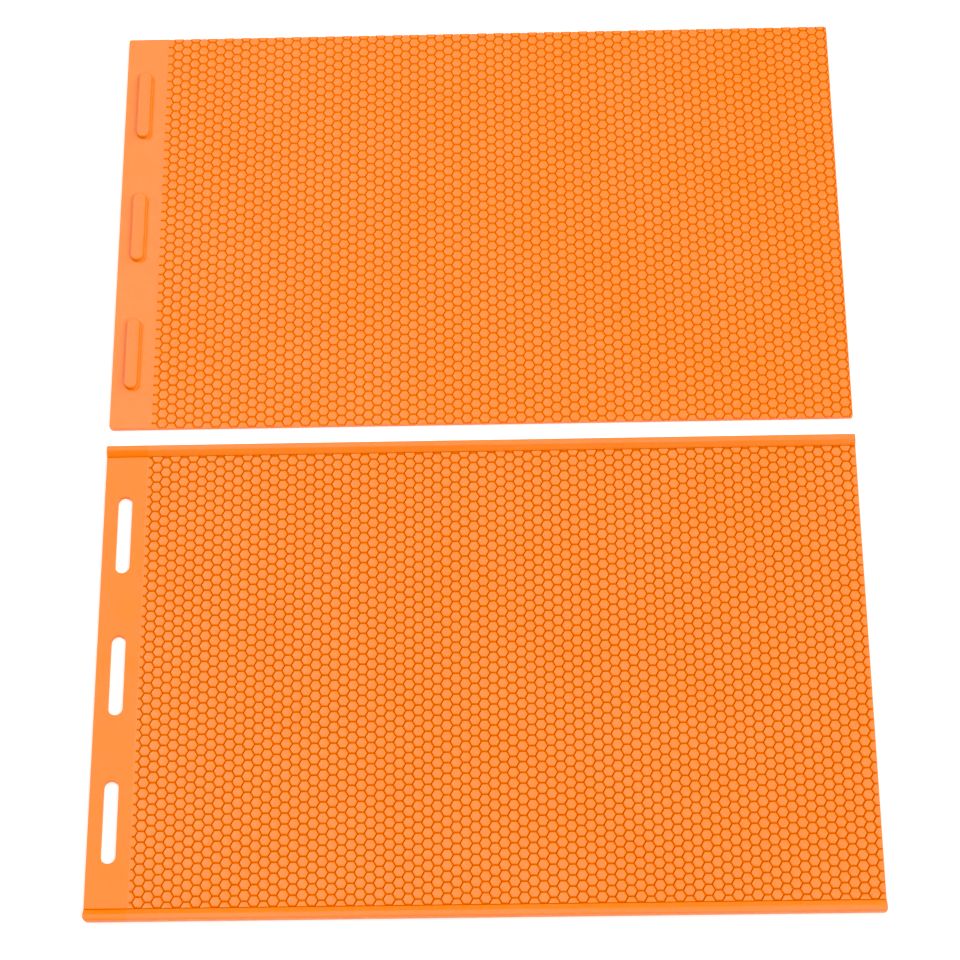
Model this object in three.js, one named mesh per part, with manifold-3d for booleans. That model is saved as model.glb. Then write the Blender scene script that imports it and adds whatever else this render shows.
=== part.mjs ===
// Flexible silicone press mould for beeswax comb foundation.
//
// The mould is two loose sheets. The slotted sheet lies face up and has a raised rail along each
// long side. The keyed sheet is turned over onto it, like a page about a line beside the far rail:
// it drops between the rails and its three keys enter the three slots, so the two embossed fields
// of worker cells meet in register with a wax-thick gap between them.
//
// Units are millimetres and +Z is up. The origin is under the middle of the open pair, on the
// surface that both sheets lie on. +X runs along the sheets, away from the margin with the keys
// and slots. +Y runs from the slotted sheet to the keyed sheet.
//
// Both sheets are drawn in one local frame: x = 0 is the line where the plain margin ends and the
// cell field starts, y = 0 is the sheet's centre line, and z = 0 is its underside. The face stays
// plain here, at the height of the cell tops.

import * as THREE from 'three';
import { mergeVertices } from 'three/addons/utils/BufferGeometryUtils.js';
import Module from 'manifold-3d';

const wasm = await Module();
wasm.setup();

// ---- Driving dimensions ----

const cellPitch = 5.4; // worker cell, flat to flat
const columnPitch = cellPitch * Math.sqrt(3) / 2;

const sheetThickness = 2.8;
const waxGap = 0.5; // left between the two faces when the mould is closed

const keyedRows = 43.5; // cells across the keyed sheet
const keyedFieldLength = 78.1 * columnPitch;
const keyedMargin = 21.3;

const slottedFieldLength = 78.15 * columnPitch;
const slottedMargin = 21.6;

const railWidth = 5.7;
const railHeight = 2.1; // above the face
const railSlope = 38 * Math.PI / 180; // of the inner side, from level
const railInnerRadius = 1.5;
const railOuterRadius = 1.2;
const sideClearance = 0.7; // keyed sheet to each rail when closed

const keyCount = 3;
const keySpacing = 75;
const keyLineOffset = 11; // from the start of the cell field to the middle of the keys and slots
const keyLength = 40.7;
const keyWidth = 6.8;
const keyHeight = 2.8;
const keyEdgeRadius = 1.1;
const slotLength = 41.5;
const slotWidth = 7.4;

const mouldedCornerRadius = 2.0; // the corner at the margin's near end
const cutCornerRadius = 1.0; // the other corners

const foldOffset = 1.85; // from the far rail's outer wall to the fold line
const arcSegments = 8; // in a quarter circle

// ---- Sizes that follow from them ----

const keyedWidth = keyedRows * cellPitch;
const channelWidth = keyedWidth + 2 * sideClearance;
const slottedWidth = channelWidth + 2 * railWidth;
const foldToEdge = foldOffset + railWidth + sideClearance;
const openGap = foldOffset + foldToEdge;
const overallLength = slottedMargin + slottedFieldLength;
const overallWidth = slottedWidth + openGap + keyedWidth;
const foldHeight = sheetThickness + waxGap / 2;

const fieldStartX = slottedMargin - overallLength / 2;
const slottedCentreY = (slottedWidth - overallWidth) / 2;
const foldY = slottedCentreY + slottedWidth / 2 + foldOffset;

// ---- Helpers ----

function toManifold(geometry) {
  const bare = geometry.clone();
  bare.deleteAttribute('normal');
  bare.deleteAttribute('uv');
  const merged = mergeVertices(bare);
  const mesh = new wasm.Mesh({
    numProp: 3,
    vertProperties: new Float32Array(merged.attributes.position.array),
    triVerts: new Uint32Array(merged.index.array),
  });
  return new wasm.Manifold(mesh);
}

function toGeometry(solid) {
  const mesh = solid.getMesh();
  const indexed = new THREE.BufferGeometry();
  indexed.setAttribute('position', new THREE.BufferAttribute(mesh.vertProperties, 3));
  indexed.setIndex(new THREE.BufferAttribute(mesh.triVerts, 1));
  const geometry = indexed.toNonIndexed();
  geometry.computeVertexNormals();
  return geometry;
}

function extrudeUp(shape, height) {
  return new THREE.ExtrudeGeometry(shape, {
    depth: height,
    bevelEnabled: false,
    curveSegments: arcSegments,
  });
}

// A rectangle from x0 to x1 about the centre line, with the margin's near corner more rounded.
function sheetShape(x0, x1, width) {
  const half = width / 2;
  const near = mouldedCornerRadius;
  const cut = cutCornerRadius;
  const shape = new THREE.Shape();
  shape.moveTo(x0 + near, -half);
  shape.lineTo(x1 - cut, -half);
  shape.absarc(x1 - cut, -half + cut, cut, -Math.PI / 2, 0);
  shape.lineTo(x1, half - cut);
  shape.absarc(x1 - cut, half - cut, cut, 0, Math.PI / 2);
  shape.lineTo(x0 + cut, half);
  shape.absarc(x0 + cut, half - cut, cut, Math.PI / 2, Math.PI);
  shape.lineTo(x0, -half + near);
  shape.absarc(x0 + near, -half + near, near, Math.PI, Math.PI * 1.5);
  return shape;
}

// A slot outline that runs along Y, with round ends.
function stadiumShape(length, width) {
  const radius = width / 2;
  const straight = length / 2 - radius;
  const shape = new THREE.Shape();
  shape.moveTo(radius, -straight);
  shape.lineTo(radius, straight);
  shape.absarc(0, straight, radius, 0, Math.PI);
  shape.lineTo(-radius, -straight);
  shape.absarc(0, -straight, radius, Math.PI, Math.PI * 2);
  return shape;
}

// The middles of the keys or slots along the margin, spaced evenly about the centre line.
function keyPlaces() {
  return Array.from({ length: keyCount }, (_, i) => (i - (keyCount - 1) / 2) * keySpacing);
}

// A rail for the far side of the slotted sheet, with a sloping inner side and rounded edges. It is
// longer than the sheet at both ends so that the sheet's outline trims it, and its section starts
// inside the sheet.
function railGeometry() {
  const outer = slottedWidth / 2;
  const inner = channelWidth / 2;
  const sunk = sheetThickness / 2;
  const top = sheetThickness + railHeight;
  const slopeRise = railHeight - railInnerRadius * (1 - Math.cos(railSlope));
  const innerArcX = inner + slopeRise / Math.tan(railSlope) + railInnerRadius * Math.sin(railSlope);
  const section = new THREE.Shape();
  section.moveTo(outer, sunk);
  section.lineTo(outer, top - railOuterRadius);
  section.absarc(outer - railOuterRadius, top - railOuterRadius, railOuterRadius, 0, Math.PI / 2);
  section.lineTo(innerArcX, top);
  section.absarc(innerArcX, top - railInnerRadius, railInnerRadius, Math.PI / 2, Math.PI / 2 + railSlope);
  section.lineTo(inner, sheetThickness);
  section.lineTo(inner, sunk);
  const geometry = extrudeUp(section, overallLength * 1.1);
  const alongX = new THREE.Matrix4().makeBasis(
    new THREE.Vector3(0, 1, 0), new THREE.Vector3(0, 0, 1), new THREE.Vector3(1, 0, 0));
  geometry.applyMatrix4(alongX);
  geometry.translate(-overallLength * 0.55, 0, 0);
  return geometry;
}

// ---- The two sheets ----

function slottedSheet() {
  const plan = sheetShape(-slottedMargin, slottedFieldLength, slottedWidth);
  let solid = toManifold(extrudeUp(plan, sheetThickness));

  const outline = toManifold(extrudeUp(plan, sheetThickness + railHeight * 2));
  const middleX = (slottedFieldLength - slottedMargin) / 2;
  for (const turn of [0, Math.PI]) {
    const rail = railGeometry();
    rail.rotateZ(turn);
    rail.translate(middleX, 0, 0);
    solid = solid.add(toManifold(rail).intersect(outline));
  }

  for (const y of keyPlaces()) {
    const cutter = extrudeUp(stadiumShape(slotLength, slotWidth), sheetThickness * 3);
    cutter.translate(-keyLineOffset, y, -sheetThickness);
    solid = solid.subtract(toManifold(cutter));
  }
  return toGeometry(solid);
}

function keyedSheet() {
  const plan = sheetShape(-keyedMargin, keyedFieldLength, keyedWidth);
  let solid = toManifold(extrudeUp(plan, sheetThickness));

  // The bevel rounds both ends of the key, and the lower one is sunk in the sheet.
  for (const y of keyPlaces()) {
    const key = new THREE.ExtrudeGeometry(stadiumShape(keyLength, keyWidth), {
      depth: keyHeight,
      bevelThickness: keyEdgeRadius,
      bevelSize: keyEdgeRadius,
      bevelOffset: -keyEdgeRadius,
      bevelSegments: 4,
      curveSegments: arcSegments,
    });
    key.translate(-keyLineOffset, y, sheetThickness - keyEdgeRadius);
    solid = solid.add(toManifold(key));
  }
  return toGeometry(solid);
}

// ---- Assembly ----

function siliconeMesh(name, geometry, color) {
  const material = new THREE.MeshStandardMaterial({ color, roughness: 0.62, metalness: 0 });
  const mesh = new THREE.Mesh(geometry, material);
  mesh.name = name;
  return mesh;
}

const mould = new THREE.Group();

const slotted = siliconeMesh('slotted_sheet', slottedSheet(), 0xfa8a38);
slotted.position.set(fieldStartX, slottedCentreY, 0);
mould.add(slotted);

// The keyed sheet hangs from the fold line that it turns about.
const fold = new THREE.Group();
fold.position.set(fieldStartX, foldY, foldHeight);
mould.add(fold);

const keyed = siliconeMesh('keyed_sheet', keyedSheet(), 0xfb9040);
keyed.position.set(0, foldToEdge + keyedWidth / 2, -foldHeight);
fold.add(keyed);

export default mould;
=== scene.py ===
# Looks for the silicone comb-foundation press mould: two sheets of hexagonal cells, face up on a
# pale table. Each plain CAD sheet is replaced by one closed mesh with every cell modelled.
# Lengths are in metres, in the same frame as the CAD.

import math

import bmesh
import bpy
import numpy as np
from mathutils import Matrix, Vector


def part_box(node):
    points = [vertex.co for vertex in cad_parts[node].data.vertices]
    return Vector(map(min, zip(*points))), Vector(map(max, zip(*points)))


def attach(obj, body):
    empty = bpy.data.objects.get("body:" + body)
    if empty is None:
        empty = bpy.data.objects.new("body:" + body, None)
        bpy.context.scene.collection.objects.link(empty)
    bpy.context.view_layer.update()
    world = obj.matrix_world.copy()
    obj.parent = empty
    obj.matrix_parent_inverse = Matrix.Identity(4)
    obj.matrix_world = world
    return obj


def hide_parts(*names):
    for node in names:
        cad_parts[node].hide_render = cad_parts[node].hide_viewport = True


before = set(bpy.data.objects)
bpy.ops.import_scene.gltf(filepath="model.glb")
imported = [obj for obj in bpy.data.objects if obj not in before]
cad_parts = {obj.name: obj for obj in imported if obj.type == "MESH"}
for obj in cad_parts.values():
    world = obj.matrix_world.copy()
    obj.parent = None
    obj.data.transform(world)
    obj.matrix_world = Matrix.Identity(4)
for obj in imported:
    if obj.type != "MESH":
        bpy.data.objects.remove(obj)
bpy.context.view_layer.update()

MM = 0.001

# ---- Driving dimensions, as in the CAD ----

PITCH = 5.4 * MM  # cell, flat to flat
CORNER_RADIUS = PITCH / math.sqrt(3)  # cell centre to the corner where three cells meet
COLUMN_PITCH = 1.5 * CORNER_RADIUS
SHEET_THICKNESS = 2.8 * MM
SLOTTED_MARGIN = 21.6 * MM
KEYED_MARGIN = 21.3 * MM

RAIL_WIDTH = 5.7 * MM
RAIL_HEIGHT = 2.1 * MM
RAIL_SLOPE = math.radians(38)  # of the inner side, from level
RAIL_INNER_RADIUS = 1.5 * MM
RAIL_OUTER_RADIUS = 1.2 * MM

KEY_SPACING = 75 * MM
KEY_LINE_OFFSET = 11 * MM
KEY_LENGTH = 40.7 * MM
KEY_WIDTH = 6.8 * MM
KEY_HEIGHT = 2.8 * MM
KEY_EDGE_RADIUS = 1.1 * MM
SLOT_LENGTH = 41.5 * MM
SLOT_WIDTH = 7.4 * MM

MOULDED_CORNER = 2.0 * MM
CUT_CORNER = 1.0 * MM

# ---- Fine shape, made only here ----

SHOULDER_DEPTH = 0.22 * MM  # where the groove wall turns over into the cell's rounded edge
RIM_DEPTH = 0.03 * MM
SHOULDER_APOTHEM = 0.43 * PITCH  # cell centre to that line, across the flats
RIM_APOTHEM = 0.375 * PITCH
SHOULDER_ROUNDING = 0.04 * PITCH
CELL_TILT = math.radians(0.8)  # the most that a cell top leans out of level
EDGE_RADIUS = 0.3 * MM
SLOT_RIM_RADIUS = 0.35 * MM
KEY_FILLET = 0.8 * MM  # where a key meets the sheet
CREASE_WIDTH = 0.45 * MM  # of the groove along the foot of each rail
CREASE_DEPTH = 0.9 * MM

# Each sheet's cells: (from the CAD's field line to where the grooves start, from there to the
# middle of the first column, from the centre line to the middle of a cell in that column, drop of
# the cell tops below the margin, depth of the grooves below the cell tops).
KEYED_CELLS = (0.8 * MM, 0.25 * CORNER_RADIUS, 0.29 * PITCH, 0.06 * MM, 1.2 * MM)
SLOTTED_CELLS = (0.3 * MM, -0.1 * CORNER_RADIUS, 0.22 * PITCH, 0.0, 1.4 * MM)
DEEPEST_GROOVE = max(KEYED_CELLS[-1], SLOTTED_CELLS[-1])

ARC_STEPS = 6
ROUND_END_STEPS = 16  # of a key or slot
ROUNDING_STEPS = 4
OVERRUN = 10 * MM  # how far a cutter passes the edges of what it cuts
SHARP_ANGLE = math.radians(55)  # between faces, from where an edge stays sharp

# ---- Mesh helpers ----


def mesh_object(name, vertices, faces):
    mesh = bpy.data.meshes.new(name)
    mesh.from_pydata(vertices, [], faces)
    mesh.validate()
    piece = bpy.data.objects.new(name, mesh)
    bpy.context.scene.collection.objects.link(piece)
    return piece


def combine(target, other, operation):
    """Joins other to target, or cuts target with it, and removes other."""
    modifier = target.modifiers.new("combine", "BOOLEAN")
    modifier.operation = operation
    modifier.solver = "MANIFOLD"
    modifier.object = other
    graph = bpy.context.evaluated_depsgraph_get()
    result = bpy.data.meshes.new_from_object(target.evaluated_get(graph), depsgraph=graph)
    target.modifiers.remove(modifier)
    target.data = result
    bpy.data.objects.remove(other)


def loft(name, rings):
    """A closed solid through rings of points that all have the same count."""
    count = len(rings[0])
    vertices = [point for ring in rings for point in ring]
    faces = [list(range(count))[::-1]]
    for level in range(len(rings) - 1):
        low, high = level * count, (level + 1) * count
        for i in range(count):
            j = (i + 1) % count
            faces.append((low + i, low + j, high + j, high + i))
    faces.append([(len(rings) - 1) * count + i for i in range(count)])
    return mesh_object(name, vertices, faces)


def arc(centre, radius, start, end, steps=ARC_STEPS):
    """Points on an arc, from start to end in degrees."""
    angles = [math.radians(start + (end - start) * i / steps) for i in range(steps + 1)]
    return [(centre[0] + radius * math.cos(a), centre[1] + radius * math.sin(a)) for a in angles]


def plan_outline(low, high, inset=0.0):
    """The sheet's outline, more rounded at the margin's near corner, shrunk by inset."""
    x0, y0, x1, y1 = low[0] + inset, low[1] + inset, high[0] - inset, high[1] - inset
    near = MOULDED_CORNER - inset
    cut = CUT_CORNER - inset
    outline = arc((x0 + near, y0 + near), near, 180, 270)
    outline += arc((x1 - cut, y0 + cut), cut, 270, 360)
    outline += arc((x1 - cut, y1 - cut), cut, 0, 90)
    outline += arc((x0 + cut, y1 - cut), cut, 90, 180)
    return outline


def stadium(centre, length, width):
    """A slot outline along Y, with round ends."""
    x, y = centre
    radius = width / 2
    straight = length / 2 - radius
    far_end = arc((x, y + straight), radius, 0, 180, ROUND_END_STEPS)
    near_end = arc((x, y - straight), radius, 180, 360, ROUND_END_STEPS)
    return far_end + near_end


def at_height(outline, z):
    return [(x, y, z) for x, y in outline]


def rounding(radius):
    """(inset, drop) pairs over a quarter round, from the wall up to the face."""
    angles = [math.pi / 2 * i / ROUNDING_STEPS for i in range(ROUNDING_STEPS + 1)]
    return [(radius * (1 - math.cos(a)), radius * (1 - math.sin(a))) for a in angles]


def slab(name, low, high, top):
    """The sheet's footprint, from the table to top, with its upper edge rounded."""
    rings = [at_height(plan_outline(low, high, EDGE_RADIUS / 2), low[2])]
    rings.append(at_height(plan_outline(low, high), low[2] + EDGE_RADIUS / 2))
    for inset, drop in rounding(EDGE_RADIUS):
        rings.append(at_height(plan_outline(low, high, inset), top - drop))
    return loft(name, rings)


def box_solid(name, low, high):
    x0, y0, z0 = low
    x1, y1, z1 = high
    corners = [(x0, y0), (x1, y0), (x1, y1), (x0, y1)]
    return loft(name, [at_height(corners, z0), at_height(corners, z1)])


# ---- The cell field ----


def cell_ring(cx, cy, apothem, corner_cut, z, lean):
    """Points round a hexagon: six, or twelve if its corners are cut back by corner_cut."""
    corner = apothem * 2 / math.sqrt(3)
    points = []
    for k in range(6):
        here = math.radians(60 * k)
        for side in (-1, 1) if corner_cut else (0,):
            along = here + math.radians(120 * side)
            dx = corner * math.cos(here) + corner_cut * math.cos(along)
            dy = corner * math.sin(here) + corner_cut * math.sin(along)
            points.append((cx + dx, cy + dy, z + dx * lean[0] + dy * lean[1]))
    return points


def cell_field(name, first, low, high, face, groove_depth):
    """A solid whose top is the embossed cells, covering the rectangle from low to high.

    One cell of its first column has its centre at first."""
    vertices, faces, corners = [], [], {}
    first_x, first_y = first
    chance = np.random.default_rng(7)

    def corner_index(ix, iy):
        """The groove point where cells meet, shared by its three cells."""
        key = (ix, iy)
        if key not in corners:
            corners[key] = len(vertices)
            vertices.append((first_x + ix * CORNER_RADIUS / 2, first_y + iy / 2 * PITCH,
                             face - groove_depth))
        return corners[key]

    columns = range(math.floor((low[0] - first_x) / COLUMN_PITCH) - 1,
                    math.ceil((high[0] - first_x) / COLUMN_PITCH) + 2)
    half_rows = range(2 * math.floor((low[1] - first_y) / PITCH) - 2,
                      2 * math.ceil((high[1] - first_y) / PITCH) + 3)
    around = ((2, 0), (1, 1), (-1, 1), (-2, 0), (-1, -1), (1, -1))
    for column in columns:
        for row in half_rows:
            if (column + row) % 2:
                continue
            cx = first_x + column * COLUMN_PITCH
            cy = first_y + row / 2 * PITCH
            groove = [corner_index(3 * column + dx, row + dy) for dx, dy in around]
            lean = chance.uniform(-math.tan(CELL_TILT), math.tan(CELL_TILT), 2)
            start = len(vertices)
            vertices += cell_ring(cx, cy, SHOULDER_APOTHEM, SHOULDER_ROUNDING,
                                  face - SHOULDER_DEPTH, lean)
            vertices += cell_ring(cx, cy, RIM_APOTHEM, 0, face - RIM_DEPTH, lean)
            vertices.append((cx, cy, face))
            centre = start + 18
            for k in range(6):
                before, after = start + 2 * k, start + 2 * k + 1
                following = start + (2 * k + 2) % 12
                rim, next_rim = start + 12 + k, start + 12 + (k + 1) % 6
                faces.append((groove[k], after, before))
                faces.append((groove[k], groove[(k + 1) % 6], following, after))
                faces.append((before, after, rim))
                faces.append((after, following, next_rim, rim))
                faces.append((rim, next_rim, centre))
    field = mesh_object(name, vertices, faces)
    close_below(field.data, -2 * SHEET_THICKNESS)
    return field


def close_below(mesh, bottom):
    """Drops a wall from the open border of a height field and closes it underneath."""
    shell = bmesh.new()
    shell.from_mesh(mesh)
    border = [edge for edge in shell.edges if edge.is_boundary]
    dropped = bmesh.ops.extrude_edge_only(shell, edges=border)["geom"]
    for vertex in [g for g in dropped if isinstance(g, bmesh.types.BMVert)]:
        vertex.co.z = bottom
    rim = [g for g in dropped if isinstance(g, bmesh.types.BMEdge) and g.is_boundary]
    bmesh.ops.contextual_create(shell, geom=rim)
    bmesh.ops.recalc_face_normals(shell, faces=shell.faces)
    shell.to_mesh(mesh)
    shell.free()


# ---- The sheets ----


def key_places(node_low, node_high, margin):
    """The middles of the keys or slots of a sheet."""
    x = node_low.x + margin - KEY_LINE_OFFSET
    centre_y = (node_low.y + node_high.y) / 2
    return [(x, centre_y + i * KEY_SPACING) for i in (-1, 0, 1)]


def embossed_slab(name, node, margin, cells):
    """The flat sheet with a plain margin and every cell cut, with no keys, slots or rails."""
    low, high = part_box(node)
    start, first_column, first_row, drop, groove_depth = cells
    field_x = low.x + margin + start
    first = (field_x + first_column, (low.y + high.y) / 2 + first_row)
    field = cell_field(name, first, (field_x, low.y), (high.x, high.y), SHEET_THICKNESS - drop,
                       groove_depth)
    plain = box_solid("plain_margin", (low.x - OVERRUN, low.y - 2 * OVERRUN, -SHEET_THICKNESS),
                      (field_x, high.y + 2 * OVERRUN, 2 * SHEET_THICKNESS))
    combine(field, plain, "UNION")
    combine(field, slab("footprint", low, high, SHEET_THICKNESS), "INTERSECT")
    field.name = name
    return field


def rail(low, high, side):
    """A rounded rail along the whole sheet, on its far side (1) or near side (-1)."""
    outer = (high.y - low.y) / 2
    inner = outer - RAIL_WIDTH
    top = SHEET_THICKNESS + RAIL_HEIGHT
    slope_rise = RAIL_HEIGHT - RAIL_INNER_RADIUS * (1 - math.cos(RAIL_SLOPE))
    inner_arc_y = inner + slope_rise / math.tan(RAIL_SLOPE) + RAIL_INNER_RADIUS * math.sin(RAIL_SLOPE)
    section = [(outer, SHEET_THICKNESS / 2)]
    section += arc((outer - RAIL_OUTER_RADIUS, top - RAIL_OUTER_RADIUS), RAIL_OUTER_RADIUS, 0, 90)
    section += arc((inner_arc_y, top - RAIL_INNER_RADIUS), RAIL_INNER_RADIUS,
                   90, 90 + math.degrees(RAIL_SLOPE))
    section += [(inner, SHEET_THICKNESS), (inner, SHEET_THICKNESS / 2)]
    centre_y = (low.y + high.y) / 2
    if side < 0:
        section = section[::-1]
    ends = (low.x - OVERRUN, high.x + OVERRUN)
    return loft("rail", [[(x, centre_y + side * y, z) for y, z in section] for x in ends])


def crease(low, high, side):
    """A cutter for the narrow groove along the foot of a rail."""
    middle = (high.y - low.y) / 2 - RAIL_WIDTH - CREASE_WIDTH / 2
    rise = 0.5 * MM  # of the cutter's top over the face
    spread = CREASE_WIDTH / 2 * (1 + rise / CREASE_DEPTH)
    top = SHEET_THICKNESS + rise
    section = [(middle, SHEET_THICKNESS - CREASE_DEPTH), (middle + spread, top), (middle - spread, top)]
    centre_y = (low.y + high.y) / 2
    if side < 0:
        section = section[::-1]
    ends = (low.x - OVERRUN, high.x + OVERRUN)
    return loft("crease", [[(x, centre_y + side * y, z) for y, z in section] for x in ends])


def slotted_sheet():
    low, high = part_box("slotted_sheet")
    sheet = embossed_slab("slotted_silicone", "slotted_sheet", SLOTTED_MARGIN, SLOTTED_CELLS)
    for side in (1, -1):
        trimmed = rail(low, high, side)
        levels = (0, 4 * SHEET_THICKNESS)
        outline = loft("outline", [at_height(plan_outline(low, high), z) for z in levels])
        combine(trimmed, outline, "INTERSECT")
        combine(sheet, trimmed, "UNION")
        combine(sheet, crease(low, high, side), "DIFFERENCE")
    for centre in key_places(low, high, SLOTTED_MARGIN):
        rings = [at_height(stadium(centre, SLOT_LENGTH, SLOT_WIDTH), -SHEET_THICKNESS)]
        for out, drop in rounding(SLOT_RIM_RADIUS):
            rim = stadium(centre, SLOT_LENGTH + 2 * out, SLOT_WIDTH + 2 * out)
            rings.append(at_height(rim, SHEET_THICKNESS - drop))
        rings.append([(x, y, 2 * SHEET_THICKNESS) for x, y, z in rings[-1]])
        combine(sheet, loft("slot", rings), "DIFFERENCE")
    return sheet


def keyed_sheet():
    low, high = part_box("keyed_sheet")
    sheet = embossed_slab("keyed_silicone", "keyed_sheet", KEYED_MARGIN, KEYED_CELLS)
    foot = [(-KEY_FILLET, SHEET_THICKNESS / 2)]
    foot += [(-out, SHEET_THICKNESS + up) for up, out in rounding(KEY_FILLET)]
    head = [(inset, SHEET_THICKNESS + KEY_HEIGHT - drop) for inset, drop in rounding(KEY_EDGE_RADIUS)]
    for centre in key_places(low, high, KEYED_MARGIN):
        rings = [at_height(stadium(centre, KEY_LENGTH - 2 * inset, KEY_WIDTH - 2 * inset), z)
                 for inset, z in foot + head]
        combine(sheet, loft("key", rings), "UNION")
    return sheet


def mark_painted_groove_shade(piece, node):
    """Stores on each point how deep in a groove it lies, 0 on the face and 1 at the deepest, as the
    mask for the painted groove shade.
    """
    low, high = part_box(node)
    mesh = piece.data
    points = np.empty(3 * len(mesh.vertices))
    mesh.vertices.foreach_get("co", points)
    x, y, z = points.reshape(-1, 3).T
    edge = 1 * MM  # the sheet's outer walls and underside are left at 0
    slack = 0.1 * MM
    inside = (x > low.x + edge) & (x < high.x - edge) & (y > low.y + edge) & (y < high.y - edge)
    above = z > SHEET_THICKNESS - DEEPEST_GROOVE - slack
    depth = np.clip((SHEET_THICKNESS - z) / DEEPEST_GROOVE, 0, 1) * inside * above
    mesh.attributes.new("groove", "FLOAT", "POINT").data.foreach_set("value", depth.astype(np.float32))


def smooth(piece):
    """Smooth shading in which flat faces stay flat and the narrow bevels beside them look round."""
    for polygon in piece.data.polygons:
        polygon.use_smooth = True
    piece.data.set_sharp_from_angle(angle=SHARP_ANGLE)
    weighting = piece.modifiers.new("weighted_normals", "WEIGHTED_NORMAL")
    weighting.keep_sharp = True
    weighting.weight = 100


# ---- Materials ----
# The scale of a noise is about its number of patches to the metre.

SILICONE_COLOUR = (0.93, 0.225, 0.031, 1)
SILICONE_PALER = (0.93, 0.236, 0.037, 1)
SILICONE_RUDDIER = (0.91, 0.205, 0.027, 1)
# painted shade: a darker, deeper orange laid into the grooves, where the shade falls
SILICONE_GROOVE_SHADE = (0.7, 0.2, 0.004, 1)
SILICONE_MARGIN_SHADE = (0.93, 0.2, 0.012, 1)  # painted shade: the slotted sheet's plain part, a little darker
FLOOR_GLOW = 0.25


class Nodes:
    """Short calls for building one material's node tree."""

    def __init__(self, name):
        self.material = bpy.data.materials.new(name)
        self.material.use_nodes = True
        self.tree = self.material.node_tree
        self.shader = self.tree.nodes["Principled BSDF"]
        self.place = self.add("ShaderNodeTexCoord").outputs["Object"]

    def add(self, kind, **inputs):
        node = self.tree.nodes.new(kind)
        for socket, value in inputs.items():
            self.put(node.inputs[socket.replace("_", " ")], value)
        return node

    def put(self, socket, value):
        """Links an output to the socket, or sets the socket to a plain value."""
        if isinstance(value, bpy.types.NodeSocket):
            self.tree.links.new(value, socket)
        else:
            socket.default_value = value

    def stretched(self, scale):
        """The object coordinates times a scale for each axis."""
        return self.add("ShaderNodeMapping", Vector=self.place, Scale=scale).outputs["Vector"]

    def noise(self, vector, scale, detail=2.0):
        return self.add("ShaderNodeTexNoise", Vector=vector, Scale=scale, Detail=detail).outputs["Fac"]

    def ramp(self, value, low, high, start=0.0, end=1.0):
        """Maps value from low..high to start..end, and no further."""
        node = self.add("ShaderNodeMapRange", Value=value, From_Min=low, From_Max=high,
                        To_Min=start, To_Max=end)
        return node.outputs["Result"]

    def blend(self, factor, first, second):
        node = self.tree.nodes.new("ShaderNodeMix")
        node.data_type = "RGBA"
        for socket, value in (("Factor_Float", factor), ("A_Color", first), ("B_Color", second)):
            self.put(next(i for i in node.inputs if i.identifier == socket), value)
        return next(o for o in node.outputs if o.identifier == "Result_Color")

    def times(self, first, second):
        node = self.tree.nodes.new("ShaderNodeMath")
        node.operation = "MULTIPLY"
        self.put(node.inputs[0], first)
        self.put(node.inputs[1], second)
        return node.outputs["Value"]

    def bump(self, height, distance, under=None):
        node = self.add("ShaderNodeBump", Height=height, Distance=distance)
        if under is not None:
            self.put(node.inputs["Normal"], under)
        return node.outputs["Normal"]


def silicone_material(field_x, gap_y):
    """Pigmented silicone: satin, faintly clouded, with painted shade in the grooves and on the slotted
    sheet's plain margin, and drawn along the rails.

    The slotted sheet lies before gap_y, and its cells start at field_x."""
    nodes = Nodes("orange_silicone")
    shader = nodes.shader
    place = nodes.add("ShaderNodeSeparateXYZ", Vector=nodes.place).outputs
    on_slotted = nodes.ramp(place["Y"], gap_y + 1 * MM, gap_y - 1 * MM)
    # mask of the painted shade on the slotted sheet's plain margin, before its cells
    margin = nodes.times(nodes.ramp(place["X"], field_x, field_x - 0.5 * MM), on_slotted)
    # the stored groove depth, the mask of the painted groove shade
    groove = nodes.add("ShaderNodeAttribute")
    groove.attribute_name = "groove"
    raised = nodes.ramp(place["Z"], SHEET_THICKNESS + 0.1 * MM, SHEET_THICKNESS + 0.6 * MM)

    clouds = nodes.ramp(nodes.noise(nodes.place, 16), 0.35, 0.65)
    mottle = nodes.ramp(nodes.noise(nodes.place, 210, 3), 0.35, 0.65)
    drawn = nodes.noise(nodes.stretched((7, 620, 620)), 1, 3)
    grain = nodes.noise(nodes.place, 2400, 2)
    smears = nodes.ramp(nodes.noise(nodes.stretched((30, 55, 30)), 1, 4), 0.45, 0.75)

    colour = nodes.blend(clouds, SILICONE_COLOUR, SILICONE_PALER)
    colour = nodes.blend(nodes.times(mottle, 0.35), colour, SILICONE_RUDDIER)
    # painted shade: the slotted sheet's plain margin is coloured darker
    colour = nodes.blend(nodes.times(margin, 0.85), colour, SILICONE_MARGIN_SHADE)
    colour = nodes.blend(nodes.times(nodes.times(raised, drawn), 0.6), colour, SILICONE_RUDDIER)
    # painted shade: the colour turns darker and deeper orange down the grooves
    colour = nodes.blend(nodes.times(groove.outputs["Fac"], 0.7), colour, SILICONE_GROOVE_SHADE)
    nodes.put(shader.inputs["Base Color"], colour)
    nodes.put(shader.inputs["Roughness"], nodes.ramp(smears, 0, 1, 0.5, 0.6))

    fine = nodes.bump(grain, 0.012 * MM)
    lengthwise = nodes.bump(nodes.times(raised, drawn), 0.12 * MM, fine)
    nodes.put(shader.inputs["Normal"], nodes.bump(mottle, 0.02 * MM, lengthwise))

    shader.inputs["Specular IOR Level"].default_value = 0.5
    shader.inputs["Subsurface Weight"].default_value = 0.2
    shader.inputs["Subsurface Radius"].default_value = (1.0, 0.35, 0.1)
    shader.inputs["Subsurface Scale"].default_value = 1.2 * MM
    return nodes.material


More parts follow.
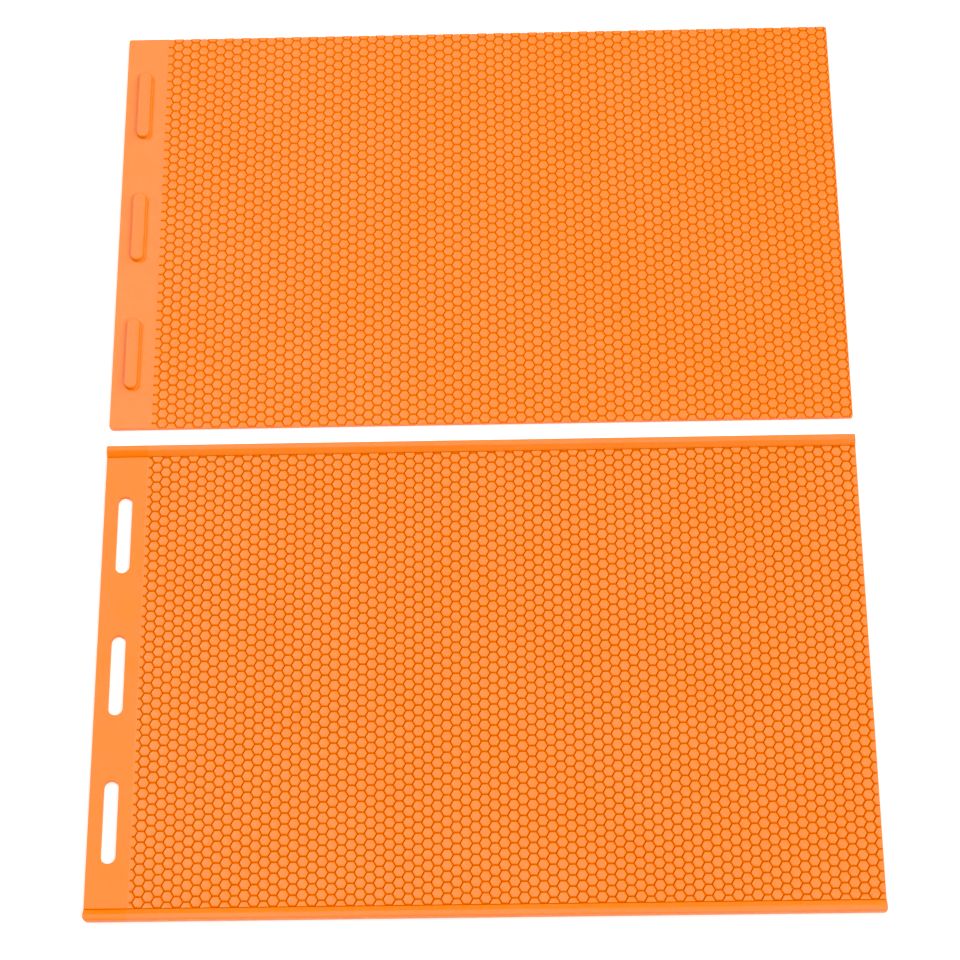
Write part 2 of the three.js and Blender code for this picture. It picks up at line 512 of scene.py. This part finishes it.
def floor_material():
    """Matt white table laminate with a weak glow, so that it shows as white."""
    nodes = Nodes("pale_table")
    shader = nodes.shader
    tone = nodes.ramp(nodes.noise(nodes.place, 3, 3), 0.3, 0.7)
    colour = nodes.blend(tone, (0.93, 0.93, 0.925, 1), (0.91, 0.915, 0.915, 1))
    nodes.put(shader.inputs["Base Color"], colour)
    nodes.put(shader.inputs["Normal"], nodes.bump(nodes.noise(nodes.place, 900, 2), 0.03 * MM))
    shader.inputs["Roughness"].default_value = 0.8
    shader.inputs["Emission Color"].default_value = (1, 1, 1, 1)
    shader.inputs["Emission Strength"].default_value = FLOOR_GLOW
    return nodes.material


# ---- Stage, light and camera ----

FLOOR_REACH = 30  # from the middle to each side
FLOOR_THICKNESS = 0.02
WORLD_GLOW = 0.2
SUN_SOFTNESS = 30  # degrees across
# (name, azimuth and elevation in degrees, strength)
SUNS = (("right_light", 120, 50, 2.07), ("left_light", 300, 50, 1.98), ("low_light", 60, 25, 0.94))
BLUE_TOE = ((0.03, 0.004), (0.057, 0.028), (0.08, 0.083), (0.15, 0.15))  # (light, as shown)

CAMERA_SENSOR = 36  # mm, as the lens is
CAMERA_LENS = 91.96
CAMERA_DISTANCE = 1.2651
CAMERA_AZIMUTH = -3.234  # degrees, as the next two are
CAMERA_ELEVATION = 68.274
CAMERA_ROLL = -3.931
CAMERA_AIM = Vector((-0.0002, -0.01942, 0.0))


def add_camera():
    camera = bpy.data.objects.new("camera", bpy.data.cameras.new("camera"))
    bpy.context.scene.collection.objects.link(camera)
    camera.data.lens = CAMERA_LENS
    camera.data.sensor_width = CAMERA_SENSOR
    azimuth, elevation = math.radians(CAMERA_AZIMUTH), math.radians(CAMERA_ELEVATION)
    ahead = Vector((math.sin(azimuth) * math.cos(elevation), math.cos(azimuth) * math.cos(elevation),
                    -math.sin(elevation)))
    level = ahead.to_track_quat("-Z", "Y")
    roll = Matrix.Rotation(math.radians(CAMERA_ROLL), 3, "Z").to_quaternion()
    camera.rotation_mode = "QUATERNION"
    camera.rotation_quaternion = level @ roll
    camera.location = CAMERA_AIM - ahead * CAMERA_DISTANCE
    bpy.context.scene.camera = camera


def add_sun(name, azimuth, elevation, strength):
    """A soft distant light. Azimuth 0 comes from the far side (+Y) and 90 from the right (+X)."""
    light = bpy.data.lights.new(name, "SUN")
    light.energy = strength
    light.angle = math.radians(SUN_SOFTNESS)
    lamp = bpy.data.objects.new(name, light)
    bpy.context.scene.collection.objects.link(lamp)
    a, e = math.radians(azimuth), math.radians(elevation)
    source = Vector((math.sin(a) * math.cos(e), math.cos(a) * math.cos(e), math.sin(e)))
    lamp.rotation_mode = "QUATERNION"
    lamp.rotation_quaternion = source.to_track_quat("Z", "Y")


def deepen_shade(view):
    """A film-like toe on blue, so that shaded orange turns deeper instead of greyer."""
    view.view_transform = "Standard"
    view.use_curve_mapping = True
    toe = view.curve_mapping.curves[2]
    for light, shown in BLUE_TOE:
        toe.points.new(light, shown)
    view.curve_mapping.update()


def add_stage():
    table = box_solid("pale_table", (-FLOOR_REACH, -FLOOR_REACH, -FLOOR_THICKNESS),
                      (FLOOR_REACH, FLOOR_REACH, 0))
    table.data.materials.append(floor_material())
    world = bpy.data.worlds.new("studio")
    world.use_nodes = True
    glow = world.node_tree.nodes["Background"]
    glow.inputs["Color"].default_value = (1, 1, 1, 1)
    glow.inputs["Strength"].default_value = WORLD_GLOW
    bpy.context.scene.world = world
    deepen_shade(bpy.context.scene.view_settings)
    for name, azimuth, elevation, strength in SUNS:
        add_sun(name, azimuth, elevation, strength)


add_camera()
add_stage()
slotted_low, slotted_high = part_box("slotted_sheet")
gap_middle = (slotted_high.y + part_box("keyed_sheet")[0].y) / 2
silicone = silicone_material(slotted_low.x + SLOTTED_MARGIN, gap_middle)
for build, node in ((slotted_sheet, "slotted_sheet"), (keyed_sheet, "keyed_sheet")):
    piece = build()
    mark_painted_groove_shade(piece, node)
    smooth(piece)
    piece.data.materials.clear()
    piece.data.materials.append(silicone)
    print(piece.name, len(piece.data.vertices), "vertices",
          sum(len(p.vertices) - 2 for p in piece.data.polygons), "triangles")
    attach(piece, node)
    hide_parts(node)
